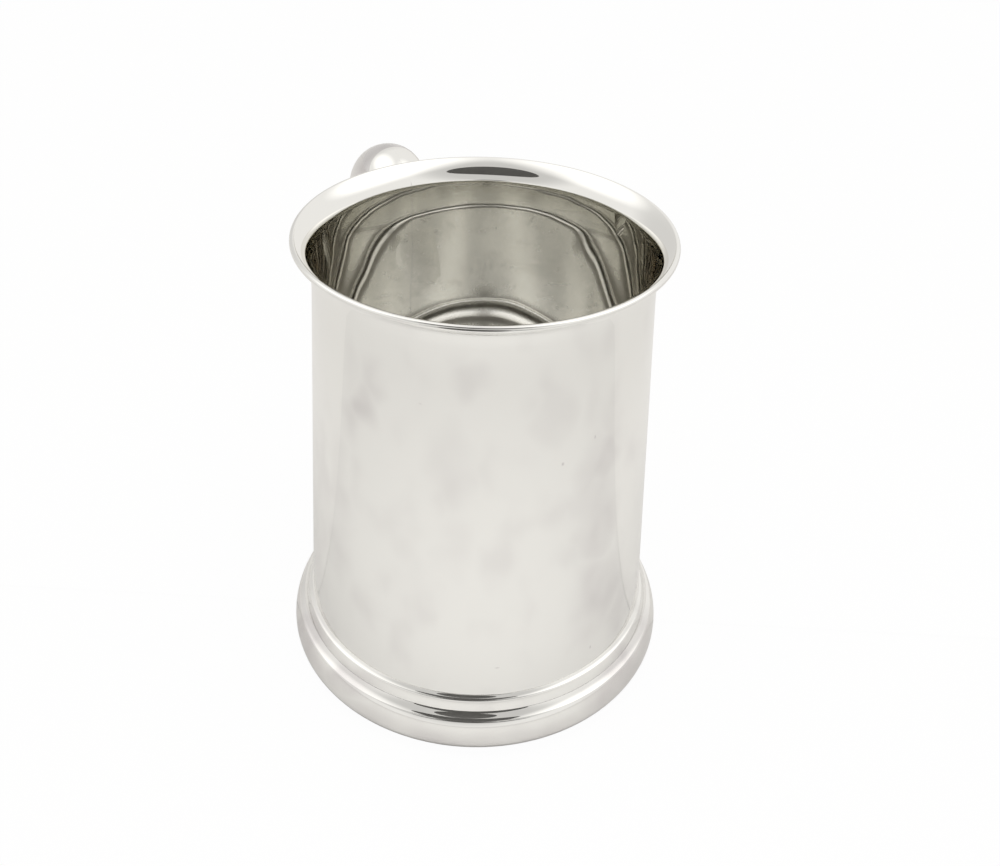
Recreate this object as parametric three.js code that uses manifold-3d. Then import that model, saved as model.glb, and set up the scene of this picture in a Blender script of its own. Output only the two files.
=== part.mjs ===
// A one-pint silver tankard: a rolled wall with a flared, wired lip, a let-in floor,
// a stepped foot and a hollow scroll handle made of two soldered halves.
// Millimetres, +Z up. The origin is on the axis at the table, and the handle lies along +X.

import * as THREE from 'three';
import { mergeVertices } from 'three/addons/utils/BufferGeometryUtils.js';
import Module from 'manifold-3d';

// Overall sizes
const HEIGHT = 120;
const TURN_STEPS = 60;
const SOLDER_GAP = 0.25;

// Body: a straight taper between two measured levels, in one gauge of sheet
const WALL = 0.9;
const BODY_TOP = { radius: 40.9, z: 112.3 };
const BODY_FOOT = { radius: 44.75, z: 13.5 };
const BODY_LOW_Z = 8.6;

// Lip: the sheet eases out below a crease, then bends there and sweeps out to the wire
const WIRE_RADIUS = 0.78;
const WIRE_SIDES = 10;
const RIM_RADIUS = 45.7;
const CREASE_Z = HEIGHT - 4.75;
const NECK_Z = 106;
const NECK_OUT = 0.35;
const NECK_LEVELS = [NECK_Z, 110.5];
const FLARE_START = THREE.MathUtils.degToRad(24);
const FLARE_END = THREE.MathUtils.degToRad(63);
const FLARE_STEPS = 7;

// Floor: a dish with a turned-up edge inside the wall
const FLOOR_Z = 16.8;
const FLOOR_GAUGE = 1;
const FLOOR_EDGE_RISE = 4.8;
const FLOOR_CORNER = 3.5;
const CORNER_STEPS = 5;

// Foot: an upper band with a small cove at the wall, over a lower ring with a wide cove and a bulge.
// Angles are those of the surface normal above the level, in degrees
const BAND_LOW_Z = 12;
const BAND_TOP_Z = 15.2;
const BAND_LIP = 0.12;
const BAND_COVE = { x: 46.93, z: 17.08, radius: 2.79, from: 63.8, to: 48 };
const BAND_FACE = { x: 36.17, z: 9.93, radius: 10.6, from: 11.2, to: 26 };
const RING_LAND_Z = 11.75;
const RING_COVE = { x: 50.61, z: 14.69, radius: 4.91, from: 63.3, to: 36.8 };
const RING_FACE = { x: 40.03, z: 5.07, radius: 9.87, from: 0, to: 32 };
const RING_UNDER = { x: 44.83, z: 5.07, radius: 5.07 };
const RING_GAUGE = 1.1;
const BEHIND_COVE = { from: 42, to: 54 };
const BEHIND_FACE = { from: 20, to: 0 };
const RING_STAND_INNER = 43.5;
const BAND_COVE_STEPS = 4;
const BAND_FACE_STEPS = 3;
const RING_COVE_STEPS = 6;
const RING_FACE_STEPS = 4;
const RING_UNDER_STEPS = 6;
const RING_HOLLOW_STEPS = 2;

// Handle: centre line in the plane of the handle, distance from the axis and height
const HANDLE_LINE = [
  [35, 84], [44.5, 95.8], [52.5, 105.6], [62, 110], [72.2, 105.2], [79, 93.8],
  [80.8, 79.5], [76.8, 64.5], [67.8, 51.8], [57.5, 43.4], [50.6, 37.3], [48.3, 30.8],
  [50.3, 24.9], [55.4, 21.9], [61, 22.6],
];
const HANDLE_STEPS = 36;
const HANDLE_WALL = 0.9;
const SECTION_STEPS = 10;
// Half width, outer half depth and finger-side half depth along the handle, from joint to tail
const SECTION_STATIONS = [
  { at: 0, width: 8.6, outer: 7.4, finger: 5.2 },
  { at: 0.22, width: 8.6, outer: 7.8, finger: 5.2 },
  { at: 0.5, width: 6.8, outer: 5.8, finger: 4.2 },
  { at: 0.8, width: 5.6, outer: 4.4, finger: 3.4 },
  { at: 1, width: 4.6, outer: 3.6, finger: 3.2 },
];
const TAIL_CAP_DOME = 2.6;
const TAIL_CAP_PLATE = 0.8;
const TAIL_CAP_STEPS = 5;

// Pads between the handle and the wall
const PAD_GAUGE = 1.1;
const UPPER_PAD = { z: 93, halfWidth: 11.6, halfHeight: 14.5 };
const LOWER_PAD = { z: 31.5, halfWidth: 8, halfHeight: 11 };
const PAD_STEPS = 40;

const wasm = await Module();
wasm.setup();

const silver = (name, roughness) =>
  new THREE.MeshStandardMaterial({ name, color: 0xdedbd6, metalness: 1, roughness });

const bodyRadius = (z) =>
  THREE.MathUtils.mapLinear(z, BODY_FOOT.z, BODY_TOP.z, BODY_FOOT.radius, BODY_TOP.radius);

const point = (radius, z) => new THREE.Vector2(radius, z);

// Points on an arc of the profile plane, from one angle to another in degrees, ends included
function arc(centre, fromDegrees, toDegrees, steps) {
  const points = [];
  for (let i = 0; i <= steps; i += 1) {
    const angle = THREE.MathUtils.degToRad(THREE.MathUtils.lerp(fromDegrees, toDegrees, i / steps));
    points.push(point(centre.x + centre.radius * Math.cos(angle), centre.z + centre.radius * Math.sin(angle)));
  }
  return points;
}

// Revolves a closed profile round the axis of the tankard
function turned(profile) {
  const closed = [...profile, profile[0]];
  const geometry = new THREE.LatheGeometry(closed, TURN_STEPS);
  geometry.rotateX(Math.PI / 2);
  return geometry;
}

// Outside radius of the wall below the crease, with the ease-out of its neck
function wallRadius(z) {
  const rise = Math.max(0, (z - NECK_Z) / (CREASE_Z - NECK_Z));
  return bodyRadius(z) + NECK_OUT * rise ** 2;
}

// The flare's inner line from the crease to the wire, as one arc
function flareLine() {
  const start = point(wallRadius(CREASE_Z) - WALL, CREASE_Z);
  const reach = RIM_RADIUS - 2 * WIRE_RADIUS - SOLDER_GAP - start.x;
  const radius = reach / (Math.cos(FLARE_START) - Math.cos(FLARE_END));
  const points = [];
  const normals = [];
  for (let i = 0; i <= FLARE_STEPS; i += 1) {
    const lean = THREE.MathUtils.lerp(FLARE_START, FLARE_END, i / FLARE_STEPS);
    const out = radius * (Math.cos(FLARE_START) - Math.cos(lean));
    const rise = radius * (Math.sin(lean) - Math.sin(FLARE_START));
    points.push(point(start.x + out, start.y + rise));
    normals.push(point(Math.cos(lean), -Math.sin(lean)));
  }
  return { points, normals };
}

function bodyWall() {
  const { points, normals } = flareLine();
  const outside = points.map((p, i) => p.clone().addScaledVector(normals[i], WALL));
  const shoulder = outside[0].y - WALL / 2;
  return turned([
    point(bodyRadius(BODY_LOW_Z) - WALL, BODY_LOW_Z),
    point(bodyRadius(BODY_LOW_Z), BODY_LOW_Z),
    point(bodyRadius(BAND_TOP_Z), BAND_TOP_Z),
    ...NECK_LEVELS.map((z) => point(wallRadius(z), z)),
    point(wallRadius(shoulder), shoulder),
    ...outside,
    ...points.reverse(),
    ...NECK_LEVELS.toReversed().map((z) => point(wallRadius(z) - WALL, z)),
  ]);
}

function rimWire() {
  const centre = { x: RIM_RADIUS - WIRE_RADIUS, z: HEIGHT - WIRE_RADIUS, radius: WIRE_RADIUS };
  return turned(arc(centre, -180, 180, WIRE_SIDES).slice(1));
}

function basePlate() {
  const edge = bodyRadius(FLOOR_Z + FLOOR_EDGE_RISE) - WALL - SOLDER_GAP;
  const under = FLOOR_Z - FLOOR_GAUGE;
  const corner = { x: edge - FLOOR_GAUGE - FLOOR_CORNER, z: FLOOR_Z + FLOOR_CORNER, radius: FLOOR_CORNER };
  const back = { ...corner, radius: FLOOR_CORNER + FLOOR_GAUGE };
  const profile = [
    point(0, under),
    ...arc(back, -90, 0, CORNER_STEPS),
    point(edge, FLOOR_Z + FLOOR_EDGE_RISE),
    point(edge - FLOOR_GAUGE, FLOOR_Z + FLOOR_EDGE_RISE),
    ...arc(corner, 0, -90, CORNER_STEPS),
    point(0, FLOOR_Z),
  ];
  const geometry = new THREE.LatheGeometry(profile, TURN_STEPS);
  geometry.rotateX(Math.PI / 2);
  return geometry;
}

// Points on a hollow moulding, which curves round a centre outside the metal
function cove(centre, fromDegrees, toDegrees, steps) {
  return arc(centre, fromDegrees + 180, toDegrees + 180, steps);
}

function footBand() {
  const inner = bodyRadius(BAND_LOW_Z) + SOLDER_GAP;
  const innerTop = bodyRadius(BAND_TOP_Z) + SOLDER_GAP;
  return turned([
    point(inner, BAND_LOW_Z),
    ...arc(BAND_FACE, BAND_FACE.from, BAND_FACE.to, BAND_FACE_STEPS),
    ...cove(BAND_COVE, BAND_COVE.from, BAND_COVE.to, BAND_COVE_STEPS).slice(1),
    point(innerTop + BAND_LIP, BAND_TOP_Z),
    point(innerTop, BAND_TOP_Z),
  ]);
}

// The lower ring is hollow: its inside follows the bulge and the cove at one gauge
function footRing() {
  const inner = bodyRadius(RING_LAND_Z - RING_GAUGE) + SOLDER_GAP;
  const thinner = (moulding) => ({ ...moulding, radius: moulding.radius - RING_GAUGE });
  const coveBack = { ...RING_COVE, radius: RING_COVE.radius + RING_GAUGE };
  return turned([
    point(RING_STAND_INNER, 0),
    ...arc(RING_UNDER, -90, 0, RING_UNDER_STEPS),
    ...arc(RING_FACE, RING_FACE.from, RING_FACE.to, RING_FACE_STEPS).slice(1),
    ...cove(RING_COVE, RING_COVE.from, RING_COVE.to, RING_COVE_STEPS).slice(1),
    point(inner, RING_LAND_Z),
    point(inner, RING_LAND_Z - RING_GAUGE),
    ...cove(coveBack, BEHIND_COVE.from, BEHIND_COVE.to, RING_HOLLOW_STEPS),
    ...arc(thinner(RING_FACE), BEHIND_FACE.from, BEHIND_FACE.to, RING_HOLLOW_STEPS),
    ...arc(thinner(RING_UNDER), 0, -90, RING_HOLLOW_STEPS).slice(1),
    point(RING_STAND_INNER, RING_GAUGE),
  ]);
}

// Solids for cutting: a welded closed mesh, and back
function toSolid(geometry) {
  const bare = geometry.clone();
  bare.deleteAttribute('normal');
  bare.deleteAttribute('uv');
  const welded = mergeVertices(bare, 1e-4);
  const mesh = new wasm.Mesh({
    numProp: 3,
    vertProperties: new Float32Array(welded.attributes.position.array),
    triVerts: new Uint32Array(welded.index.array),
  });
  return new wasm.Manifold(mesh);
}

function toGeometry(solid) {
  const mesh = solid.getMesh();
  const geometry = new THREE.BufferGeometry();
  geometry.setAttribute('position', new THREE.BufferAttribute(mesh.vertProperties, 3));
  geometry.setIndex(new THREE.BufferAttribute(mesh.triVerts, 1));
  geometry.computeVertexNormals();
  return geometry;
}

// A solid cone that follows the outside of the wall at a given distance
function wallCone(offset) {
  const low = BODY_LOW_Z;
  const high = CREASE_Z;
  const profile = [
    point(0, low),
    point(bodyRadius(low) + offset, low),
    point(bodyRadius(high) + offset, high),
    point(0, high),
  ];
  const geometry = new THREE.LatheGeometry(profile, TURN_STEPS);
  geometry.rotateX(Math.PI / 2);
  return toSolid(geometry);
}

// A plate bent to the wall, cut from a cone shell by an oval seen along the handle
function wallPad({ z, halfWidth, halfHeight }) {
  const oval = new THREE.Shape();
  oval.absellipse(0, 0, halfWidth, halfHeight, 0, Math.PI * 2, false);
  const prism = new THREE.ExtrudeGeometry(oval, {
    depth: RIM_RADIUS, bevelEnabled: false, curveSegments: PAD_STEPS,
  });
  prism.applyMatrix4(new THREE.Matrix4().makeBasis(
    new THREE.Vector3(0, 1, 0), new THREE.Vector3(0, 0, 1), new THREE.Vector3(1, 0, 0),
  ));
  prism.translate(RIM_RADIUS / 2, 0, z);
  const shell = wallCone(SOLDER_GAP + PAD_GAUGE).subtract(wallCone(SOLDER_GAP));
  return toGeometry(shell.intersect(toSolid(prism)));
}

// Handle: one half is a C-shaped section carried along the centre line and tapered
const handleCurve = new THREE.CatmullRomCurve3(
  HANDLE_LINE.map(([x, z]) => new THREE.Vector3(x, 0, z)), false, 'centripetal',
);

function sectionAt(t) {
  const next = SECTION_STATIONS.findIndex((station) => station.at >= t);
  const high = SECTION_STATIONS[Math.max(next, 1)];
  const low = SECTION_STATIONS[Math.max(next, 1) - 1];
  const blend = THREE.MathUtils.smoothstep(t, low.at, high.at);
  const mix = (key) => THREE.MathUtils.lerp(low[key], high[key], blend);
  return { width: mix('width'), outer: mix('outer'), finger: mix('finger') };
}

// Half-oval lines from the outer seam to the finger-side seam, at a distance inside the surface
function halfOval({ width, outer, finger }, inset) {
  const points = [];
  for (let i = 0; i <= SECTION_STEPS; i += 1) {
    const angle = Math.PI / 2 - (Math.PI * i) / SECTION_STEPS;
    const depth = (Math.sin(angle) > 0 ? outer : finger) - inset;
    points.push(new THREE.Vector2((width - inset) * Math.cos(angle), depth * Math.sin(angle)));
  }
  return points;
}

function handleShell(side) {
  const rings = [];
  for (let i = 0; i <= HANDLE_STEPS; i += 1) {
    const t = i / HANDLE_STEPS;
    const centre = handleCurve.getPointAt(t);
    const along = handleCurve.getTangentAt(t);
    const outward = new THREE.Vector3(-along.z, 0, along.x);
    const section = sectionAt(t);
    const outline = [...halfOval(section, 0), ...halfOval(section, HANDLE_WALL).reverse()];
    rings.push(outline.map((p) => new THREE.Vector3(0, side * (p.x + SOLDER_GAP / 2), 0)
      .add(centre)
      .addScaledVector(outward, p.y)));
  }
  const shell = toSolid(loft(rings, side > 0));
  return toGeometry(shell.subtract(wallCone(2 * SOLDER_GAP + PAD_GAUGE)));
}

// Joins equal closed rings into one closed skin with flat ends
function loft(rings, flip) {
  const count = rings[0].length;
  const positions = rings.flat().flatMap((p) => [p.x, p.y, p.z]);
  const faces = [];
  const put = (a, b, c) => faces.push(...(flip ? [a, c, b] : [a, b, c]));
  for (let i = 0; i < rings.length - 1; i += 1) {
    for (let j = 0; j < count; j += 1) {
      const a = i * count + j;
      const b = i * count + ((j + 1) % count);
      put(a, b, a + count);
      put(b, b + count, a + count);
    }
  }
  const half = count / 2;
  const last = (rings.length - 1) * count;
  for (let j = 0; j < half - 1; j += 1) {
    const mate = count - 1 - j;
    put(j, mate, j + 1);
    put(j + 1, mate, mate - 1);
    put(last + j, last + j + 1, last + mate);
    put(last + j + 1, last + mate - 1, last + mate);
  }
  const geometry = new THREE.BufferGeometry();
  geometry.setAttribute('position', new THREE.Float32BufferAttribute(positions, 3));
  geometry.setIndex(faces);
  return geometry;
}

// A domed plug in front of the open end of the handle
function tailCap() {
  const { width, outer, finger } = sectionAt(1);
  const depth = (outer + finger) / 2;
  const profile = [point(0, 0), point(1, 0), point(1, TAIL_CAP_PLATE)];
  for (let i = 1; i < TAIL_CAP_STEPS; i += 1) {
    const angle = (Math.PI / 2) * (i / TAIL_CAP_STEPS);
    profile.push(point(Math.cos(angle), TAIL_CAP_PLATE + TAIL_CAP_DOME * Math.sin(angle)));
  }
  profile.push(point(0, TAIL_CAP_PLATE + TAIL_CAP_DOME));
  const geometry = new THREE.LatheGeometry(profile, TURN_STEPS / 3);
  geometry.scale(depth, 1, width);
  const along = handleCurve.getTangentAt(1);
  const outward = new THREE.Vector3(-along.z, 0, along.x);
  const sideways = new THREE.Vector3().crossVectors(outward, along);
  geometry.applyMatrix4(new THREE.Matrix4().makeBasis(outward, along, sideways));
  const place = handleCurve.getPointAt(1)
    .addScaledVector(along, SOLDER_GAP)
    .addScaledVector(outward, (outer - finger) / 2);
  geometry.translate(place.x, place.y, place.z);
  return geometry;
}

const tankard = new THREE.Group();

function add(name, geometry, material) {
  const mesh = new THREE.Mesh(geometry, material);
  mesh.name = name;
  tankard.add(mesh);
}

const polished = silver('polished silver', 0.06);
const hidden = silver('unpolished silver', 0.25);

add('body_wall', bodyWall(), polished);
add('rim_wire', rimWire(), polished);
add('base_plate', basePlate(), hidden);
add('foot_band', footBand(), polished);
add('foot_ring', footRing(), polished);
add('upper_handle_pad', wallPad(UPPER_PAD), polished);
add('lower_handle_pad', wallPad(LOWER_PAD), polished);
add('handle_left_shell', handleShell(1), polished);
add('handle_right_shell', handleShell(-1), polished);
add('handle_tail_cap', tailCap(), polished);

export default tankard;
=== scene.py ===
# %% [markdown]
# # A silver tankard, step by step
# A pint tankard is a few pieces of sheet silver: a rolled wall with a flared lip, a wire round
# the edge, a let-in floor, a moulded foot and a hollow handle. Silver has hardly any colour of
# its own, so most of this lesson is about clean curves and about what the metal mirrors.
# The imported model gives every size. It is loaded first and is never moved.

# %% Load the measured part
import math

import bmesh
import bpy
from mathutils import Matrix, Vector, noise


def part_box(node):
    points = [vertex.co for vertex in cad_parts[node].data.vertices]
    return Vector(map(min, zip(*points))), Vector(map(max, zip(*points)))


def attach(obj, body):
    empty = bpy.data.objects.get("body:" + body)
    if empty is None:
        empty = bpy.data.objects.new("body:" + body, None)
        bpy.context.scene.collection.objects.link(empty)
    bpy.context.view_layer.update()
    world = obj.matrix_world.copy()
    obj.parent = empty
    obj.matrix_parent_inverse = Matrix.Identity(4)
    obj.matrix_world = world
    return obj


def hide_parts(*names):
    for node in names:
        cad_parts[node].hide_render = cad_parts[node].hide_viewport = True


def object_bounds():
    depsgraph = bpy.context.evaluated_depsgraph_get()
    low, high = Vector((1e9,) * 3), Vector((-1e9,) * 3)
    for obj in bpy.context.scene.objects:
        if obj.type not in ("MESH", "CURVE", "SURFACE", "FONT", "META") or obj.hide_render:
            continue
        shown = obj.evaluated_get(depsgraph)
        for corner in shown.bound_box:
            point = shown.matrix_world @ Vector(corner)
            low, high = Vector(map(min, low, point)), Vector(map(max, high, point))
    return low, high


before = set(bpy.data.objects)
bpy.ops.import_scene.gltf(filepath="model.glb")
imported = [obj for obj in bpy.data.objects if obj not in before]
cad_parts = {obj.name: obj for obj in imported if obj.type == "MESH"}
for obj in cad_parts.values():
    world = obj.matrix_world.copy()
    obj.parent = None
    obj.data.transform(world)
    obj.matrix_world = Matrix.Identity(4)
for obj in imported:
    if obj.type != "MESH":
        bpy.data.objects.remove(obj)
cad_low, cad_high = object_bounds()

MM = 0.001
scene = bpy.context.scene
print("CAD box in mm:", [round(v / MM, 1) for v in cad_high - cad_low])

# %% [markdown]
# ## The camera
# The picture was taken from close by and well above the lip, so the mouth is a wide oval and the
# sides lean in towards the foot. The camera was fitted to the lip, the wall and the foot. It is
# easiest to state in a frame that looks along +Y, and then the whole camera is turned about the
# axis, because the part's own +X runs along the handle, at the back left of the picture.

# %% Place the camera
PHOTO_WIDTH = 1000
HANDLE_TURN = math.radians(25.7)
CAMERA_BACK = 247.994 * MM
CAMERA_HEIGHT = 239.404 * MM
FOCAL_PIXELS = 1168.18
YAW = 0.0153
PITCH = 0.4942
ROLL = 0.0345
PICTURE_RISE = -0.15
SENSOR = 36.0
CLIP_NEAR, CLIP_FAR = 0.01, 50

to_part = Matrix.Rotation(-math.pi / 2 - HANDLE_TURN, 3, "Z")


def camera_axes():
    """Right, up and backward directions of the camera as matrix columns, in the part's frame."""
    flat = math.cos(PITCH)
    forward = Vector((math.sin(YAW) * flat, math.cos(YAW) * flat, -math.sin(PITCH)))
    level = Vector((math.cos(YAW), -math.sin(YAW), 0))
    upright = level.cross(forward)
    right = math.cos(ROLL) * level + math.sin(ROLL) * upright
    up = math.cos(ROLL) * upright - math.sin(ROLL) * level
    return to_part @ Matrix((right, up, -forward)).transposed()


lens = bpy.data.cameras.new("photo_camera")
lens.sensor_fit = "HORIZONTAL"
lens.sensor_width = SENSOR
lens.lens = FOCAL_PIXELS / PHOTO_WIDTH * SENSOR
lens.shift_y = PICTURE_RISE
lens.clip_start = CLIP_NEAR
lens.clip_end = CLIP_FAR
camera = bpy.data.objects.new("photo_camera", lens)
camera.matrix_world = camera_axes().to_4x4()
camera.location = to_part @ Vector((0, -CAMERA_BACK, CAMERA_HEIGHT))
scene.collection.objects.link(camera)
scene.camera = camera
print("camera at mm:", [round(v / MM) for v in camera.location])

# %% [markdown]
# ## Turning a piece
# The wall, wire, floor and foot are all turned shapes. Each is drawn once as a closed outline of
# radius and height, and spun a full turn round the axis. A mirror shows every facet, so the spin
# has many steps, round corners are real arcs, and long straight runs are cut into short ones.

# %% Outline helpers and the lathe
TURN_STEPS = 256
SHARP_ANGLE = math.radians(40)
MERGE_WITHIN = 0.002 * MM


def arc(centre, radius, start, end, steps):
    """Points on an arc of the outline, angles in degrees, both ends included."""
    angles = [math.radians(start + (end - start) * i / steps) for i in range(steps + 1)]
    return [(centre[0] + radius * math.cos(a), centre[1] + radius * math.sin(a)) for a in angles]


def run(start, end, steps):
    """Evenly spaced points on a straight run, without its last point."""
    return [
        (start[0] + (end[0] - start[0]) * i / steps, start[1] + (end[1] - start[1]) * i / steps)
        for i in range(steps)
    ]


def turn(outline, closed=True, steps=TURN_STEPS):
    """A bmesh of the outline, in millimetres, spun round the axis of the tankard."""
    bm = bmesh.new()
    verts = [bm.verts.new((radius * MM, 0, height * MM)) for radius, height in outline]
    pairs = zip(verts, verts[1:] + verts[:1] if closed else verts[1:])
    edges = [bm.edges.new(pair) for pair in pairs]
    bmesh.ops.spin(
        bm, geom=verts + edges, cent=(0, 0, 0), axis=(0, 0, 1),
        angle=math.tau, steps=steps, use_merge=True,
    )
    bmesh.ops.remove_doubles(bm, verts=bm.verts, dist=MERGE_WITHIN)
    bmesh.ops.recalc_face_normals(bm, faces=bm.faces)
    return bm


def finish_piece(name, bm, node, material):
    """Makes the object, shades it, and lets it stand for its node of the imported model."""
    for face in bm.faces:
        face.smooth = True
    mesh = bpy.data.meshes.new(name)
    bm.to_mesh(mesh)
    bm.free()
    mesh.set_sharp_from_angle(angle=SHARP_ANGLE)
    mesh.materials.append(material)
    piece = bpy.data.objects.new(name, mesh)
    scene.collection.objects.link(piece)
    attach(piece, "root")
    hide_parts(node)
    print(name, len(mesh.polygons), "faces, mm:", [round(v / MM, 1) for v in piece.dimensions])


# %% [markdown]
# ## The silver
# Polished silver is a mirror with hardly any tint. Hand polish is never perfect, though: tarnish
# dulls the tone in soft clouds, the gloss has fine wiping lines, and use leaves small pits. The metal
# is also made darker in soft places: those low on the foot and round the top of the handle are
# painted shade, standing in for the shadow and the dim surroundings that the metal mirrors, and
# those on the wall are darker patches. A soft place is a spot round a point, and noise strays the
# coordinates so that no spot is round. The floor is painted darker in rings beside its round corner
# and low on its turned-up edge: painted shade.
# All of it is procedural and reads Object coordinates, in metres.

# %% Silver finishes
SILVER_BRIGHT = (0.89, 0.886, 0.862, 1)
# The dull silver colour serves tarnish and pits, and also the painted shade low on the foot and round
# the top of the handle
SILVER_DULL_AND_SHADED = (0.66, 0.635, 0.635, 1)
FLOOR_BRIGHT = (0.81, 0.805, 0.78, 1)
# The dull floor colour serves its tarnish clouds and the painted shade beside its corner
FLOOR_DULL_AND_SHADED = (0.3, 0.29, 0.27, 1)
INSIDE_EDGE = (0.96, 0.95, 0.94, 1)
OUTSIDE_EDGE = (1, 1, 1, 1)
CLOUD_SCALE = (21, 21, 14)
CLOUD_RANGE = (0.42, 0.8)
CLOUD_SHARE = 0.22
SPOT_PLAIN, SPOT_CLOUDY = 0.7, 0.6
SPOT_CORE = 0.1
WANDER_SCALE = (17, 17, 17)
WANDER = (14 * MM, 14 * MM, 14 * MM)
NOISE_MIDDLE = (0.5, 0.5, 0.5)
SMEAR_SCALE = (60, 60, 900)
SMEAR_RANGE = (0.3, 0.75)
POLISHED_ROUGHNESS = (0.02, 0.045)
FLOOR_ROUGHNESS = (0.2, 0.28)
DULL_SOFTENS = 0.12
LEVEL = (1, 1, 0)
# Painted shade on the floor: where its darker rings begin and end, as radii, where the shade of its
# turned-up edge begins and the heights where that shade fades out, then a darker spot on the camera's
# side
RING_START, RING_END = (33.5 * MM, 37.8 * MM), (39.2 * MM, 40.5 * MM)
EDGE_SHADE_RADII = (41.4 * MM, 42.3 * MM)
EDGE_SHADE_TOP = (19.6 * MM, 20.4 * MM)
FRONT_CORNER_SHADE = ((-33.5, 16.1, 16.8), 11, 4, 0.75)
# The seam's turn from the handle, half its width, how far out it shows and where it fades upwards
SEAM_TURN = math.radians(3.65)
SEAM_HALF = 0.16 * MM
SEAM_REACH = 46 * MM
SEAM_ENDS = (115.4 * MM, 116.4 * MM)
# Numbers of the Mix node's colour sockets, whose names other sockets share
MIX_LOW, MIX_HIGH, MIX_RESULT = 6, 7, 2
# Darker places on the outside, in millimetres: centre, reach sideways, reach up, strength. The last
# six, round the top of the handle and low on the foot, are painted shade for the dim surroundings and
# the shadow that the metal mirrors
DARK_PLACES_AND_PAINTED_SHADE = [
    ((-19.6, 36.3, 100), 6, 9, 0.45), ((-17, 38, 92), 7, 11, 0.7), ((-14.5, 39.4, 84), 7, 12, 0.5),
    ((-9, 41.7, 66), 8, 17, 0.34), ((-10, 42.3, 46), 9, 16, 0.36),
    ((-40.2, -12.8, 77), 9, 14, 0.6), ((-41, -11.8, 62), 11, 18, 0.6), ((-41, -14, 38), 15, 20, 0.5),
    ((-38, -22.6, 26), 11, 15, 0.55), ((-34.6, 24, 82), 9, 15, 0.32), ((-36, 23.4, 61), 7, 16, 0.26),
    ((-41.5, 3.5, 95), 7, 14, 0.34), ((-35.8, 20.4, 103), 7, 8, 0.34), ((62, 0, 114), 34, 24, 0.95),
    ((0, 0, 0), 200, 11, 0.55), ((2, 49, 6), 30, 13, 0.85), ((-41, -27, 6), 30, 13, 1.0),
    ((-19, 43, 11), 14, 7, 0.9), ((-48.7, 4.9, 5), 18, 9, 0.6),
]
# Small pits and scratches: centre, reach sideways, reach up, strength
MARKS = [
    ((-42.1, -0.4, 80.7), 0.5, 0.7, 1.0), ((-41, -9, 84.9), 0.35, 0.9, 1.0),
    ((-42.9, -11.5, 21.1), 0.4, 0.8, 1.0), ((-42.1, 14, 24), 0.9, 0.25, 0.9),
    ((-38.7, 17.2, 52), 0.3, 0.9, 0.7), ((-30, 29, 97), 0.6, 0.3, 0.7),
]


def link(tree, source, target):
    """Joins two sockets."""
    tree.links.new(source, target)


def texture(tree, coords, kind, scale, **inputs):
    """A texture node on stretched Object coordinates."""
    stretch = tree.nodes.new("ShaderNodeMapping")
    stretch.inputs["Scale"].default_value = scale
    link(tree, coords, stretch.inputs["Vector"])
    node = tree.nodes.new(kind)
    for key, value in inputs.items():
        node.inputs[key].default_value = value
    link(tree, stretch.outputs["Vector"], node.inputs["Vector"])
    return node


def ramp(tree, value, low, high, to_low=0.0, to_high=1.0):
    """Maps a value smoothly from one range to another."""
    node = tree.nodes.new("ShaderNodeMapRange")
    node.interpolation_type = "SMOOTHSTEP"
    ends = {"From Min": low, "From Max": high, "To Min": to_low, "To Max": to_high}
    for key, number in ends.items():
        node.inputs[key].default_value = number
    link(tree, value, node.inputs["Value"])
    return node.outputs["Result"]


def math_node(tree, operation, a, b=0.0, c=0.0):
    """One Math node on sockets or numbers."""
    node = tree.nodes.new("ShaderNodeMath")
    node.operation = operation
    for socket, value in zip(node.inputs, (a, b, c)):
        if isinstance(value, (int, float)):
            socket.default_value = value
        else:
            link(tree, value, socket)
    return node.outputs[0]


def vector_node(tree, operation, a, b=(0, 0, 0)):
    """One Vector Math node on a socket, and a socket or fixed vector."""
    node = tree.nodes.new("ShaderNodeVectorMath")
    node.operation = operation
    link(tree, a, node.inputs[0])
    if isinstance(b, tuple):
        node.inputs[1].default_value = b
    else:
        link(tree, b, node.inputs[1])
    return node


def split(tree, coords):
    """The X, Y and Z sockets of the coordinates."""
    node = tree.nodes.new("ShaderNodeSeparateXYZ")
    link(tree, coords, node.inputs["Vector"])
    return node.outputs


def soft_spot(tree, coords, centre, sideways, upward, strength):
    """A soft spot round a place on the surface, as a value from nought to its strength."""
    reach = Vector((sideways, sideways, upward))
    place = tree.nodes.new("ShaderNodeMapping")
    place.inputs["Scale"].default_value = [1 / (v * MM) for v in reach]
    place.inputs["Location"].default_value = [-c / v for c, v in zip(centre, reach)]
    link(tree, coords, place.inputs["Vector"])
    away = vector_node(tree, "LENGTH", place.outputs["Vector"]).outputs["Value"]
    return ramp(tree, away, SPOT_CORE, 1, strength, 0)


def outside(tree, coords, normal):
    """One where the surface faces away from the axis, nought where it faces the axis."""
    level = vector_node(tree, "MULTIPLY", coords, LEVEL).outputs["Vector"]
    facing = vector_node(tree, "DOT_PRODUCT", level, normal).outputs["Value"]
    return math_node(tree, "GREATER_THAN", facing, 0)


def corner_shade(tree, coords):
    """Painted shade: darker rings on both sides of the floor's round corner, low on its turned-up
    edge, and a darker spot on the camera's side.
    """
    level = vector_node(tree, "MULTIPLY", coords, LEVEL).outputs["Vector"]
    radius = vector_node(tree, "LENGTH", level).outputs["Value"]
    ends = ramp(tree, radius, *RING_END, 1, 0)
    ring = math_node(tree, "MULTIPLY", ramp(tree, radius, *RING_START), ends)
    low = ramp(tree, split(tree, coords)["Z"], *EDGE_SHADE_TOP, 1, 0)
    edge = math_node(tree, "MULTIPLY", ramp(tree, radius, *EDGE_SHADE_RADII), low)
    both = math_node(tree, "MAXIMUM", ring, edge)
    return math_node(tree, "MAXIMUM", both, soft_spot(tree, coords, *FRONT_CORNER_SHADE))


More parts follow.
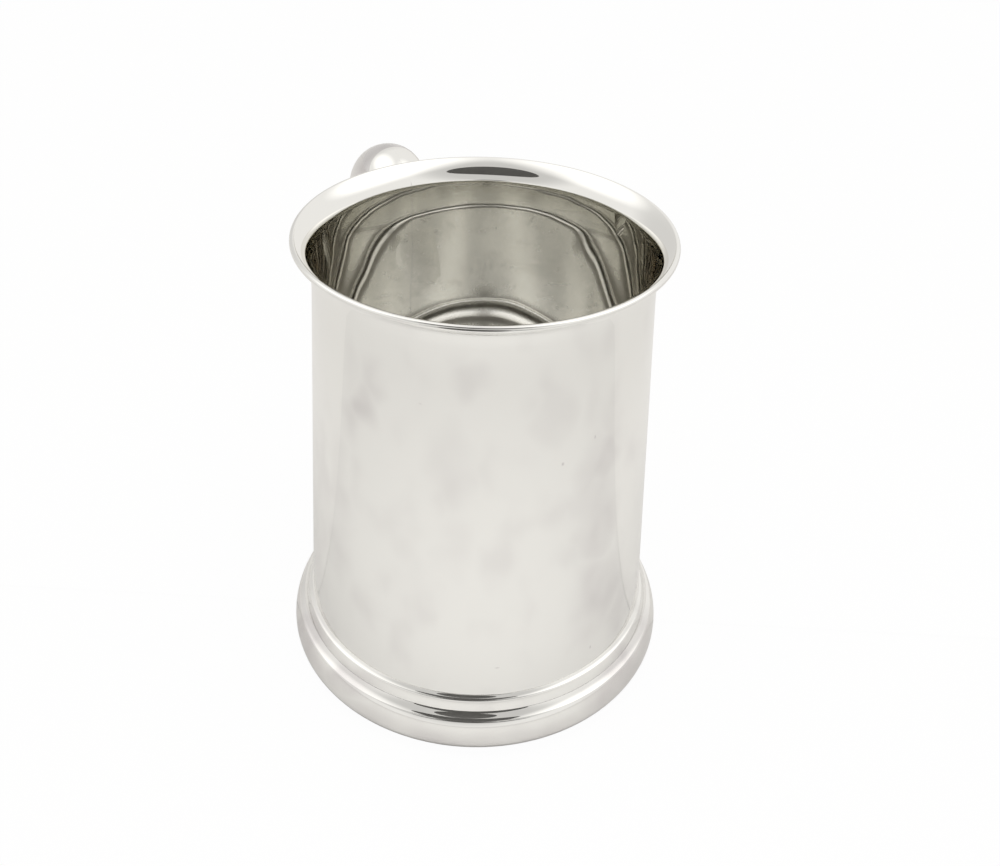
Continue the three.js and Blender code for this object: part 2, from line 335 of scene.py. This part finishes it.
def seam_hairline(tree, coords):
    """A hairline up the wall and into the flare, where the two ends of the rolled sheet meet."""
    across = (-math.sin(SEAM_TURN), math.cos(SEAM_TURN), 0)
    aside = vector_node(tree, "DOT_PRODUCT", coords, across).outputs["Value"]
    near = ramp(tree, math_node(tree, "ABSOLUTE", aside), 0, SEAM_HALF, 1, 0)
    parts = split(tree, coords)
    near = math_node(tree, "MULTIPLY", near, ramp(tree, parts["Z"], *SEAM_ENDS, 1, 0))
    near = math_node(tree, "MULTIPLY", near, math_node(tree, "LESS_THAN", parts["X"], SEAM_REACH))
    return math_node(tree, "MULTIPLY", near, math_node(tree, "GREATER_THAN", parts["X"], 0))


def blend(tree, share, low, high):
    """A colour between two colours."""
    node = tree.nodes.new("ShaderNodeMix")
    node.data_type = "RGBA"
    node.inputs[MIX_LOW].default_value = low
    node.inputs[MIX_HIGH].default_value = high
    link(tree, share, node.inputs[0])
    return node.outputs[MIX_RESULT]


def silver(name, bright, dull, roughness, mark_and_shade):
    """Polished silver with soft clouds of tarnish, darker places (painted shade on the foot and handle
    top), pits, one more mark given as an argument (the seam for the polished silver, the painted
    corner shade for the floor) and fine wiping lines.
    """
    material = bpy.data.materials.new(name)
    material.use_nodes = True
    tree = material.node_tree
    shader = tree.nodes["Principled BSDF"]
    shader.inputs["Metallic"].default_value = 1
    sources = tree.nodes.new("ShaderNodeTexCoord")
    coords = sources.outputs["Object"]
    outer = outside(tree, coords, sources.outputs["Normal"])

    clouds = texture(tree, coords, "ShaderNodeTexNoise", CLOUD_SCALE, Detail=1.5, Roughness=0.45)
    patchy = ramp(tree, clouds.outputs["Fac"], *CLOUD_RANGE)
    spots = math_node(tree, "MULTIPLY", patchy, CLOUD_SHARE)
    drift = texture(tree, coords, "ShaderNodeTexNoise", WANDER_SCALE, Detail=1).outputs["Color"]
    drift = vector_node(tree, "SUBTRACT", drift, NOISE_MIDDLE).outputs["Vector"]
    drift = vector_node(tree, "MULTIPLY", drift, WANDER).outputs["Vector"]
    strayed = vector_node(tree, "ADD", coords, drift).outputs["Vector"]
    # Darker places; those round the top of the handle and low on the foot are painted shade
    for settings in DARK_PLACES_AND_PAINTED_SHADE:
        spots = math_node(tree, "MAXIMUM", spots, soft_spot(tree, strayed, *settings))
    uneven = math_node(tree, "MULTIPLY_ADD", patchy, SPOT_CLOUDY, SPOT_PLAIN)
    spots = math_node(tree, "MULTIPLY", spots, uneven)
    for settings in MARKS:
        spots = math_node(tree, "MAXIMUM", spots, soft_spot(tree, coords, *settings))
    spots = math_node(tree, "MULTIPLY", spots, outer)
    # The extra mark: the seam line, and on the floor the painted shade beside its corner
    spots = math_node(tree, "MAXIMUM", spots, mark_and_shade(tree, coords))
    link(tree, blend(tree, spots, bright, dull), shader.inputs["Base Color"])
    link(tree, blend(tree, outer, INSIDE_EDGE, OUTSIDE_EDGE), shader.inputs["Specular Tint"])

    smears = texture(tree, coords, "ShaderNodeTexNoise", SMEAR_SCALE, Detail=4, Roughness=0.6)
    gloss = ramp(tree, smears.outputs["Fac"], *SMEAR_RANGE, *roughness)
    soft = math_node(tree, "MULTIPLY_ADD", spots, DULL_SOFTENS, gloss)
    link(tree, soft, shader.inputs["Roughness"])
    return material


polished = silver("polished_silver", SILVER_BRIGHT, SILVER_DULL_AND_SHADED, POLISHED_ROUGHNESS, seam_hairline)
floor_silver = silver("floor_silver", FLOOR_BRIGHT, FLOOR_DULL_AND_SHADED, FLOOR_ROUGHNESS, corner_shade)
print("materials:", polished.name, floor_silver.name)

# %% [markdown]
# ## The wall
# The wall is one sheet, rolled, seamed and drawn out to a flare at the lip. Below the crease it
# already eases out a little, and inside it is bowed by a third of a millimetre. Both are too small
# to see as shapes, but they bend the mirrored floor into an arch with a flat top and upright sides.
# The inside was planished over a stake, which leaves very shallow waves. They hardly show on the
# sheet itself, but they bend every reflection in the mouth, so they are real geometry here: after
# the spin each vertex moves a few hundredths of a millimetre along its radius.

# %% Body wall
HEIGHT = cad_high.z / MM
WALL = 0.9
TOP_RADIUS, TOP_Z = 40.9, 112.3
FOOT_RADIUS, FOOT_Z = 44.75, 13.5
WALL_LOW_Z = 8.6
BOW_LOW_Z = 21.6
WIRE = 0.78
RIM_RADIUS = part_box("rim_wire")[1].x / MM
WIRE_CENTRE = (RIM_RADIUS - WIRE, HEIGHT - WIRE)
CREASE_Z = 115
NECK_Z = 105
NECK_OUT = 0.6
BOW = 0.3
FLARE_START, FLARE_END = 17.5, 61.3
FLARE_STEPS = 24
WIRE_TOUCH, WIRE_UNDER = 117, 205
EDGE_STEPS = 8
FIT_GAP = 0.05
INNER_STEPS, OUTER_STEPS = 110, 40
WALL_TURN_STEPS = 400
WAVES_INSIDE = 0.09
WAVES_OUTSIDE = 0.012
# Length of each wave and its share of the depth
WAVES = [(32, 1.0), (13, 0.4)]
WAVE_FADE = 6


def wall_radius(z):
    """Outside radius of the straight part of the wall at a height."""
    return FOOT_RADIUS + (TOP_RADIUS - FOOT_RADIUS) * (z - FOOT_Z) / (TOP_Z - FOOT_Z)


def neck_radius(z):
    """Outside radius of the wall with the ease-out of its neck."""
    rise = max(0, (z - NECK_Z) / (CREASE_Z - NECK_Z))
    return wall_radius(z) + NECK_OUT * rise**2


def inner_radius(z):
    """Inside radius of the wall, with its slight bow."""
    share = max(0, (z - BOW_LOW_Z) / (CREASE_Z - BOW_LOW_Z))
    return neck_radius(z) - WALL + BOW * 4 * share * (1 - share)


def wire_point(degrees):
    """A point just off the lip wire, at an angle round its centre."""
    return arc(WIRE_CENTRE, WIRE + FIT_GAP / 2, degrees, degrees, 1)[0]


def flare_line():
    """Inner line of the flare, from the crease to the wire."""
    start_x = inner_radius(CREASE_Z)
    reach = wire_point(WIRE_TOUCH)[0] - start_x
    first, last = math.radians(FLARE_START), math.radians(FLARE_END)
    radius = reach / (math.cos(first) - math.cos(last))
    centre = (start_x + radius * math.cos(first), CREASE_Z - radius * math.sin(first))
    return arc(centre, radius, 180 - FLARE_START, 180 - FLARE_END, FLARE_STEPS)


def offset_line(points, distance):
    """The line moved to its right by a distance."""
    moved = []
    for i, (x, z) in enumerate(points):
        before, after = points[max(i - 1, 0)], points[min(i + 1, len(points) - 1)]
        along = Vector((after[0] - before[0], after[1] - before[1])).normalized()
        moved.append((x + along.y * distance, z - along.x * distance))
    return moved


def wall_side(radius_at, high_z, steps):
    """Points up one face of the wall below the flare."""
    levels = [WALL_LOW_Z + (high_z - WALL_LOW_Z) * i / steps for i in range(steps)]
    return [(radius_at(z), z) for z in levels]


def wall_outline():
    """Up the outside of the wall, round the wire and down the inside."""
    inner = flare_line()
    under = wire_point(WIRE_UNDER)
    outer = [p for p in offset_line(inner, WALL) if p[0] < under[0] - FIT_GAP]
    edge = arc(WIRE_CENTRE, WIRE + FIT_GAP / 2, WIRE_UNDER, WIRE_TOUCH, EDGE_STEPS)
    return [
        *wall_side(neck_radius, outer[0][1], OUTER_STEPS),
        *outer,
        *edge[:-1],
        *reversed(inner),
        *reversed(wall_side(inner_radius, CREASE_Z, INNER_STEPS)),
    ]


def ripple(bm):
    """Shallow planishing waves: a small radial move that fades out at the lip and the foot."""
    for vert in bm.verts:
        flat = Vector((vert.co.x, vert.co.y, 0))
        z = vert.co.z / MM
        inside = flat.length / MM < neck_radius(z) - WALL / 4
        depth = WAVES_INSIDE if inside else WAVES_OUTSIDE
        fade = min(1, max(0, (CREASE_Z - z) / WAVE_FADE)) * min(1, max(0, (z - FOOT_Z) / WAVE_FADE))
        wave = sum(share * noise.noise(vert.co / (length * MM)) for length, share in WAVES)
        vert.co += flat.normalized() * wave * depth * fade * MM


bm = turn(wall_outline(), steps=WALL_TURN_STEPS)
ripple(bm)
finish_piece("rolled_wall", bm, "body_wall", polished)

# %% [markdown]
# ## The wire round the lip
# A thin wire soldered round the edge stiffens the lip. It is a circle spun round the axis.

# %% Lip wire
WIRE_SIDES = 20
bm = turn(arc(WIRE_CENTRE, WIRE, 0, 360, WIRE_SIDES)[:-1])
finish_piece("lip_wire", bm, "rim_wire", polished)

# %% [markdown]
# ## The floor
# The floor is a shallow dish with its edge turned up inside the wall. It can't be seen directly
# from the camera, but the wall mirrors it, and the round corner with the painted shade beside it gives
# the dark and bright lines.

# %% Dished floor
FLOOR_Z = 16.8
FLOOR_GAUGE = 1.0
EDGE_RISE = 4.8
CORNER = 3.5
FLOOR_STEPS = 24
UNDER_STEPS, LIP_STEPS, CORNER_STEPS = 10, 8, 16


def floor_outline():
    """Out along the underside of the floor, over its edge and back to the axis."""
    top_z = FLOOR_Z + EDGE_RISE
    edge = wall_radius(top_z) - WALL - FIT_GAP
    corner = (edge - FLOOR_GAUGE - CORNER, FLOOR_Z + CORNER)
    lip = FLOOR_GAUGE / 2
    under = FLOOR_Z - FLOOR_GAUGE
    return [
        *run((0, under), (corner[0], under), FLOOR_STEPS),
        *arc(corner, CORNER + FLOOR_GAUGE, -90, 0, UNDER_STEPS),
        *arc((edge - lip, top_z - lip), lip, 0, 180, LIP_STEPS),
        *arc(corner, CORNER, 0, -90, CORNER_STEPS),
        *reversed(run((0, FLOOR_Z), (corner[0], FLOOR_Z), FLOOR_STEPS)),
    ]


bm = turn(floor_outline(), closed=False)
finish_piece("dished_floor", bm, "base_plate", floor_silver)

# %% [markdown]
# ## The foot
# The foot is two rings. The upper band has a small cove where it meets the wall, and a face that
# is nearly upright. The lower ring has a wider cove, then a soft bulge that turns under to the flat
# standing edge. A cove curves round a centre in the air, so its angles point back at the metal.

# %% Foot mouldings
BAND_LOW_Z = 11.9
BAND_COVE_CENTRE, BAND_COVE_RADIUS, BAND_COVE_ENDS = (46.93, 17.08), 2.79, (243.8, 215.8)
BAND_FACE_CENTRE, BAND_FACE_RADIUS, BAND_FACE_ENDS = (36.17, 9.93), 10.6, (10.7, 26)
BAND_STEPS = 10
RING_LAND_Z = 11.85
RING_COVE_CENTRE, RING_COVE_RADIUS, RING_COVE_ENDS = (50.61, 14.69), 4.91, (243.3, 215.3)
RING_FACE_CENTRE, RING_FACE_RADIUS, RING_FACE_ENDS = (40.03, 5.07), 9.87, (0, 32)
RING_UNDER_CENTRE, RING_UNDER_RADIUS = (44.83, 5.07), 5.07
RING_STEPS, RING_UNDER_STEPS = 14, 20
RING_GAUGE = 1.1
# The hollow back of the ring is plainer: ends of its arcs in degrees, and their steps
BACK_COVE_ENDS, BACK_FACE_ENDS = (222, 234), (20, 0)
BACK_COVE_STEPS, BACK_FACE_STEPS, BACK_UNDER_STEPS = 3, 4, 8
STAND_INNER = 43.5


def band_outline():
    """Up the face of the band and round its cove."""
    cove = arc(BAND_COVE_CENTRE, BAND_COVE_RADIUS, *BAND_COVE_ENDS, BAND_STEPS)
    return [
        (wall_radius(BAND_LOW_Z) + FIT_GAP, BAND_LOW_Z),
        *arc(BAND_FACE_CENTRE, BAND_FACE_RADIUS, *BAND_FACE_ENDS, BAND_STEPS),
        *cove[1:],
        (wall_radius(cove[-1][1]) + FIT_GAP, cove[-1][1]),
    ]


def ring_outline():
    """Up the outside of the ring and down its hollow back."""
    seat = wall_radius(RING_LAND_Z) + FIT_GAP
    return [
        (STAND_INNER, 0),
        *arc(RING_UNDER_CENTRE, RING_UNDER_RADIUS, -90, 0, RING_UNDER_STEPS),
        *arc(RING_FACE_CENTRE, RING_FACE_RADIUS, *RING_FACE_ENDS, RING_STEPS)[1:],
        *arc(RING_COVE_CENTRE, RING_COVE_RADIUS, *RING_COVE_ENDS, RING_STEPS)[1:],
        (seat, RING_LAND_Z),
        (seat, RING_LAND_Z - RING_GAUGE),
        *arc(RING_COVE_CENTRE, RING_COVE_RADIUS + RING_GAUGE, *BACK_COVE_ENDS, BACK_COVE_STEPS),
        *arc(RING_FACE_CENTRE, RING_FACE_RADIUS - RING_GAUGE, *BACK_FACE_ENDS, BACK_FACE_STEPS),
        *arc(RING_UNDER_CENTRE, RING_UNDER_RADIUS - RING_GAUGE, 0, -90, BACK_UNDER_STEPS)[1:],
        (STAND_INNER, RING_GAUGE),
    ]


finish_piece("foot_roll", turn(band_outline()), "foot_band", polished)
finish_piece("foot_skirt", turn(ring_outline()), "foot_ring", polished)

# %% [markdown]
# ## The handle
# The handle is raised from two half shells, soldered along the middle. A C-shaped ring, the half
# oval of the section with its wall thickness, stands at many places along the centre line, and
# bridging joins the rings into one shell. A plane along the face of the pads then cuts both joints
# at once, the cuts are filled, and their points move in or out onto the round of the pad.

# %% Handle centre line and sections
# Points of the centre line: distance from the axis and height
HANDLE_LINE = [
    (35, 84), (44.5, 95.8), (52.5, 105.6), (62, 110), (72.2, 105.2), (79, 93.8),
    (80.8, 79.5), (76.8, 64.5), (67.8, 51.8), (57.5, 43.4), (50.6, 37.3), (48.3, 30.8),
    (50.3, 24.9), (55.4, 21.9), (61, 22.6),
]
# Share of the length, half width, outer depth and finger-side depth
SECTIONS = [
    (0.0, 8.6, 7.4, 5.2), (0.22, 8.6, 7.8, 5.2), (0.5, 6.8, 5.8, 4.2),
    (0.8, 5.6, 4.4, 3.4), (1.0, 4.6, 3.6, 3.2),
]
HANDLE_RINGS = 130
HALF_SIDES = 28
HANDLE_GAUGE = 0.9
SPAN_STEPS = 40


def spline_span(p0, p1, p2, p3):
    """Points from p1 towards p2 on a centripetal spline."""
    times = [0.0]
    for a, b in ((p0, p1), (p1, p2), (p2, p3)):
        times.append(times[-1] + math.sqrt((b - a).length))
    t0, t1, t2, t3 = times
    points = []
    for i in range(SPAN_STEPS):
        t = t1 + (t2 - t1) * i / SPAN_STEPS
        a1 = p0.lerp(p1, (t - t0) / (t1 - t0))
        a2 = p1.lerp(p2, (t - t1) / (t2 - t1))
        a3 = p2.lerp(p3, (t - t2) / (t3 - t2))
        b1 = a1.lerp(a2, (t - t0) / (t2 - t0))
        b2 = a2.lerp(a3, (t - t1) / (t3 - t1))
        points.append(b1.lerp(b2, (t - t1) / (t2 - t1)))
    return points


def centre_points(steps):
    """Evenly spaced points along the spline through the handle line."""
    knots = [Vector(p) for p in HANDLE_LINE]
    knots = [2 * knots[0] - knots[1], *knots, 2 * knots[-1] - knots[-2]]
    fine = []
    for four in zip(knots, knots[1:], knots[2:], knots[3:]):
        fine += spline_span(*four)
    fine.append(knots[-2])
    lengths = [0.0]
    for a, b in zip(fine, fine[1:]):
        lengths.append(lengths[-1] + (b - a).length)
    points, j = [], 0
    for i in range(steps + 1):
        wanted = lengths[-1] * i / steps
        while j < len(fine) - 2 and lengths[j + 1] < wanted:
            j += 1
        share = (wanted - lengths[j]) / (lengths[j + 1] - lengths[j])
        points.append(fine[j].lerp(fine[j + 1], share))
    return points


def section_at(t):
    """Half width, outer depth and finger-side depth at a share of the handle's length."""
    for low, high in zip(SECTIONS, SECTIONS[1:]):
        if t <= high[0]:
            share = (t - low[0]) / (high[0] - low[0])
            share = share * share * (3 - 2 * share)
            return [a + (b - a) * share for a, b in zip(low[1:], high[1:])]
    return SECTIONS[-1][1:]


def handle_frames():
    """Centre, direction and outward normal of each ring, in the plane of the handle."""
    points = centre_points(HANDLE_RINGS)
    frames = []
    for i, centre in enumerate(points):
        ahead, behind = points[min(i + 1, HANDLE_RINGS)], points[max(i - 1, 0)]
        along = (ahead - behind).normalized()
        frames.append((centre, along, Vector((-along.y, along.x))))
    return frames


frames = handle_frames()
print("handle rings:", len(frames), "tail at mm", [round(v, 1) for v in frames[-1][0]])

# %% [markdown]
# The two halves are the same function with the sign of the sideways direction changed.

# %% Handle halves
HALF_GAP = 0.004
PAD_GAUGE = 1.1
PAD_FACE = PAD_GAUGE + 4 * FIT_GAP
CUT_WITHIN = 1e-7


def half_oval(section, inset):
    """Half an oval from the outer seam round to the finger-side seam."""
    width, outer, finger = section
    points = []
    for i in range(HALF_SIDES + 1):
        angle = math.pi / 2 - math.pi * i / HALF_SIDES
        depth = (outer if angle > 0 else finger) - inset
        points.append(((width - inset) * math.cos(angle), depth * math.sin(angle)))
    return points


def c_ring(bm, ring_frame, section, side):
    """The edges of one closed C-shaped ring, square to the centre line."""
    centre, along, outward = ring_frame
    outline = half_oval(section, 0) + half_oval(section, HANDLE_GAUGE)[::-1]
    verts = []
    for across, depth in outline:
        place = centre + outward * depth
        verts.append(bm.verts.new(Vector((place.x, side * (across + HALF_GAP), place.y)) * MM))
    return [bm.edges.new(pair) for pair in zip(verts, verts[1:] + verts[:1])]


def seat_on_pads(bm):
    """Cuts the shell along the face of the pads, fills the cuts and rounds them to the wall."""
    foot = Vector((wall_radius(FOOT_Z) + PAD_FACE, 0, FOOT_Z)) * MM
    top = Vector((wall_radius(TOP_Z) + PAD_FACE, 0, TOP_Z)) * MM
    outward = (top - foot).cross(Vector((0, -1, 0))).normalized()
    if outward.x < 0:
        outward.negate()
    everything = [*bm.verts, *bm.edges, *bm.faces]
    cut = bmesh.ops.bisect_plane(
        bm, geom=everything, dist=CUT_WITHIN, plane_co=foot, plane_no=outward, clear_inner=True,
    )["geom_cut"]
    edges = [e for e in cut if isinstance(e, bmesh.types.BMEdge)]
    bmesh.ops.triangle_fill(bm, edges=edges, use_beauty=True, normal=-outward)
    for vert in {v for e in edges for v in e.verts}:
        radius = (wall_radius(vert.co.z / MM) + PAD_FACE) * MM
        vert.co.x = math.sqrt(radius**2 - vert.co.y**2)


def handle_half(name, side, node):
    """One half shell, bridged from ring to ring and seated on the pads."""
    bm = bmesh.new()
    rings = []
    for i, ring_frame in enumerate(frames):
        rings.append(c_ring(bm, ring_frame, section_at(i / HANDLE_RINGS), side))
    for low, high in zip(rings, rings[1:]):
        bmesh.ops.bridge_loops(bm, edges=low + high)
    tail = Vector((frames[-1][1].x, 0, frames[-1][1].y))
    bmesh.ops.triangle_fill(bm, edges=rings[-1], use_beauty=True, normal=tail)
    seat_on_pads(bm)
    bmesh.ops.recalc_face_normals(bm, faces=bm.faces)
    open_edges = sum(1 for e in bm.edges if len(e.link_faces) != 2)
    print(name, "volume mm3", round(bm.calc_volume() / MM**3), "open edges", open_edges)
    finish_piece(name, bm, node, polished)


handle_half("handle_half_left", 1, "handle_left_shell")
handle_half("handle_half_right", -1, "handle_right_shell")

# %% [markdown]
# ## The plug and the pads
# A small domed plug closes the free end. It is spun with a radius of one, then stretched to the
# oval of the handle's end and turned to face along it. Each pad is a flat disc with rings of inset
# faces, stretched to an oval, bent to the wall and thickened.

# %% Tail plug
PLUG_PLATE = 0.8
PLUG_DOME = 2.6
PLUG_STEPS = 12


def tail_plug():
    """The domed plug in the free end of the handle."""
    width, outer, finger = SECTIONS[-1][1:]
    outline = [(0, 0), (1, 0), (1, PLUG_PLATE)]
    for i in range(1, PLUG_STEPS):
        angle = math.pi / 2 * i / PLUG_STEPS
        outline.append((math.cos(angle), PLUG_PLATE + PLUG_DOME * math.sin(angle)))
    outline.append((0, PLUG_PLATE + PLUG_DOME))
    bm = turn(outline, closed=False)
    centre, along, outward = frames[-1]
    middle = centre + outward * (outer - finger) / 2 + along * FIT_GAP
    depth = (outer + finger) / 2
    turned = Matrix((
        (outward.x * depth, 0, along.x, middle.x * MM),
        (0, width, 0, 0),
        (outward.y * depth, 0, along.y, middle.y * MM),
        (0, 0, 0, 1),
    ))
    bmesh.ops.transform(bm, matrix=turned, verts=bm.verts)
    bmesh.ops.recalc_face_normals(bm, faces=bm.faces)
    finish_piece("handle_tail_plug", bm, "handle_tail_cap", polished)


tail_plug()

# %% Pads on the wall
# Height of the middle, half width and half height
UPPER_PAD = (93, 11.6, 14.5)
LOWER_PAD = (31.5, 8, 11)
PAD_SIDES = 72
PAD_INSETS = 6
PAD_BEVEL = 0.35
PAD_BEVEL_STEPS = 3


def clear_of_wall(co):
    """Distance from a point to the wall's outside, in millimetres."""
    return math.hypot(co.x, co.y) / MM - wall_radius(co.z / MM)


def wall_pad(name, size, node):
    """An oval plate, bent to the wall, thickened outwards and eased at its rim."""
    middle_z, half_width, half_height = size
    bm = bmesh.new()
    bmesh.ops.create_circle(bm, cap_ends=True, segments=PAD_SIDES, radius=1)
    for _ in range(PAD_INSETS):
        middle = min(bm.faces, key=lambda face: face.calc_center_median().length)
        bmesh.ops.inset_region(bm, faces=[middle], thickness=1 / (PAD_INSETS + 1))
    for vert in bm.verts:
        across, z = vert.co.x * half_width, middle_z + vert.co.y * half_height
        radius = wall_radius(z) + FIT_GAP
        vert.co = Vector((math.sqrt(radius**2 - across**2), across, z)) * MM
    bm.normal_update()
    if sum(face.normal.x for face in bm.faces) > 0:
        bmesh.ops.reverse_faces(bm, faces=bm.faces)
    bmesh.ops.solidify(bm, geom=bm.faces, thickness=PAD_GAUGE * MM)
    clear = [clear_of_wall(v.co) for v in bm.verts]
    print(name, "stands off the wall by mm", round(min(clear), 2), "to", round(max(clear), 2))
    bmesh.ops.recalc_face_normals(bm, faces=bm.faces)
    rims = [e for e in bm.edges if e.calc_face_angle(0) > SHARP_ANGLE]
    far = [e for e in rims if all(clear_of_wall(v.co) > PAD_GAUGE / 2 for v in e.verts)]
    bmesh.ops.bevel(
        bm, geom=far, offset=PAD_BEVEL * MM, affect="EDGES",
        segments=PAD_BEVEL_STEPS, profile=0.5, material=-1,
    )
    finish_piece(name, bm, node, polished)


wall_pad("upper_pad", UPPER_PAD, "upper_handle_pad")
wall_pad("lower_pad", LOWER_PAD, "lower_handle_pad")

# %% [markdown]
# ## The studio
# The tankard stands on white paper in a white tent. The tent is the world: an even white with a few
# soft patches, brighter high up on both sides, where the lights shine through the cloth, and dimmer
# behind the camera. A patch is a direction with two radii, and a dot product tells how near a ray is.
# The paper is two sheets. The one behind is painted a little paler, painted light for the brighter
# light that falls behind the tankard, and its front edge passes under the tankard, so the wall mirrors
# it as a faint upright line on each side.

# %% Paper floor and tent
PAPER_REACH = 3.0
PAPER_FRONT = (0.73, 0.724, 0.715, 1)
# The back sheet is paler: painted light for the brighter light that falls behind the tankard
PAPER_BACK_PAINTED_LIGHT = (0.767, 0.76, 0.75, 1)
FRONT_DEPTH, BACK_DEPTH = 0.3 * MM, 0.05 * MM
SHEET_TURN = math.radians(-2.4)
MATT = 0.9
PAPER_GLOW_SEEN = 0.97
TENT_WHITE = (1.0, 0.985, 0.96, 1)
TENT_PLAIN = 0.92
MIRROR_BOUNCES, ALL_BOUNCES = 64, 72
# Turn from the camera's side and height angle of a patch, radius of its middle and of its edge, all
# in degrees, and what it adds to the brightness of the tent
PATCHES = [
    (100, 56, 12, 36, 0.5),
    (-104, 55, 14, 36, 0.36),
    (-7, 46, 26, 50, -0.28),
    (-150, 8, 10, 40, -0.2),
]


def matt_material(name, colour):
    """A matt material of one colour."""
    material = bpy.data.materials.new(name)
    material.use_nodes = True
    shader = material.node_tree.nodes["Principled BSDF"]
    shader.inputs["Base Color"].default_value = colour
    shader.inputs["Roughness"].default_value = MATT
    return material


def stage_card(name, bm, material):
    """A stage object from a bmesh."""
    mesh = bpy.data.meshes.new(name)
    bm.to_mesh(mesh)
    bm.free()
    mesh.materials.append(material)
    card = bpy.data.objects.new(name, mesh)
    scene.collection.objects.link(card)
    return card


def paper_sheet(name, colour, depth, near, far):
    """A sheet on the table, between two distances from the axis counted away from the camera."""
    material = matt_material(name, colour)
    tree = material.node_tree
    shader = tree.nodes["Principled BSDF"]
    glow = tree.nodes.new("ShaderNodeEmission")
    seen = tree.nodes.new("ShaderNodeLightPath").outputs["Is Camera Ray"]
    mix = tree.nodes.new("ShaderNodeMixShader")
    link(tree, math_node(tree, "MULTIPLY", seen, PAPER_GLOW_SEEN), mix.inputs["Fac"])
    link(tree, shader.outputs["BSDF"], mix.inputs[1])
    link(tree, glow.outputs["Emission"], mix.inputs[2])
    link(tree, mix.outputs["Shader"], tree.nodes["Material Output"].inputs["Surface"])

    bm = bmesh.new()
    bmesh.ops.create_grid(bm, x_segments=1, y_segments=1, size=1)
    bmesh.ops.scale(bm, verts=bm.verts, vec=(PAPER_REACH, (far - near) / 2, 1))
    bmesh.ops.translate(bm, verts=bm.verts, vec=(0, (near + far) / 2, -depth))
    laid = to_part @ Matrix.Rotation(SHEET_TURN, 3, "Z")
    bmesh.ops.transform(bm, matrix=laid.to_4x4(), verts=bm.verts)
    stage_card(name, bm, material)


def studio_direction(turn_degrees, rise_degrees):
    """Unit vector of a direction: X to the camera's right, Y away from the camera."""
    turned, rise = math.radians(turn_degrees), math.radians(rise_degrees)
    flat = math.cos(rise)
    return Vector((math.sin(turned) * flat, -math.cos(turned) * flat, math.sin(rise)))


def tent_world():
    """The white tent with its soft patches."""
    world = bpy.data.worlds.new("white_tent")
    world.use_nodes = True
    tree = world.node_tree
    cloth = tree.nodes["Background"]
    cloth.inputs["Color"].default_value = TENT_WHITE
    way = tree.nodes.new("ShaderNodeTexCoord").outputs["Generated"]
    strength = TENT_PLAIN
    for turn_degrees, rise_degrees, middle, edge, change in PATCHES:
        towards = tuple(to_part @ studio_direction(turn_degrees, rise_degrees))
        near = vector_node(tree, "DOT_PRODUCT", way, towards).outputs["Value"]
        ends = (math.cos(math.radians(edge)), math.cos(math.radians(middle)))
        inside = ramp(tree, near, *ends)
        strength = math_node(tree, "MULTIPLY_ADD", inside, change, strength)
    link(tree, strength, cloth.inputs["Strength"])
    return world


paper_sheet("front_paper", PAPER_FRONT, FRONT_DEPTH, -PAPER_REACH, PAPER_REACH)
paper_sheet("back_paper_painted_light", PAPER_BACK_PAINTED_LIGHT, BACK_DEPTH, 0, PAPER_REACH)
scene.world = tent_world()
scene.view_settings.view_transform = "Standard"
scene.cycles.glossy_bounces = MIRROR_BOUNCES
scene.cycles.max_bounces = ALL_BOUNCES
print("paper and tent set")

# %% [markdown]
# Dark things are on the camera's side: the opening of the tent, high up, and the head and arms of
# a small tripod, low down. They are oval cards that only mirror rays see. The opening shows as a
# dark lens in the flare, and all together darken the middle of the coves. A soft lamp over the
# front makes the paper brighter near the tankard, and the wall mirrors that.

# %% Opening, tripod and lamp
# Name, centre (right of the axis, away from the camera, up), half width and half height in metres,
# lean and roll in degrees
DARK_CARDS = [
    ("tent_opening", (-0.024, -0.194, 0.424), 0.163, 0.158, 90, -17),
    ("tripod_head", (-0.009, -0.13, 0.107), 0.039, 0.046, 90, 0),
    ("tripod_arms", (-0.004, -0.2, 0.09), 0.115, 0.022, 90, 0),
]
CARD_SIDES = 64
CARD_TONE = (0.09, 0.088, 0.085, 1)
LAMP_PLACE = (0.0, -0.06, 0.24)
LAMP_SIZE = 0.1
LAMP_ENERGY = 0.2


def dark_card(name, centre, half_width, half_height, lean, roll):
    """An oval card that only mirror rays see."""
    bm = bmesh.new()
    bmesh.ops.create_circle(bm, cap_ends=True, segments=CARD_SIDES, radius=1)
    bmesh.ops.scale(bm, verts=bm.verts, vec=(half_width, half_height, 1))
    leaning = Matrix.Rotation(math.radians(lean), 4, "X") @ Matrix.Rotation(math.radians(roll), 4, "Z")
    place = to_part.to_4x4() @ Matrix.Translation(centre) @ leaning
    bmesh.ops.transform(bm, matrix=place, verts=bm.verts)
    card = stage_card(name, bm, matt_material(name, CARD_TONE))
    card.visible_camera = False
    card.visible_diffuse = False
    card.visible_shadow = False


for settings in DARK_CARDS:
    dark_card(*settings)
lamp = bpy.data.lights.new("soft_lamp", "AREA")
lamp.shape = "DISK"
lamp.size = LAMP_SIZE
lamp.energy = LAMP_ENERGY
holder = bpy.data.objects.new("soft_lamp", lamp)
holder.location = to_part @ Vector(LAMP_PLACE)
holder.visible_camera = False
holder.visible_glossy = False
scene.collection.objects.link(holder)
print("dark cards:", len(DARK_CARDS))
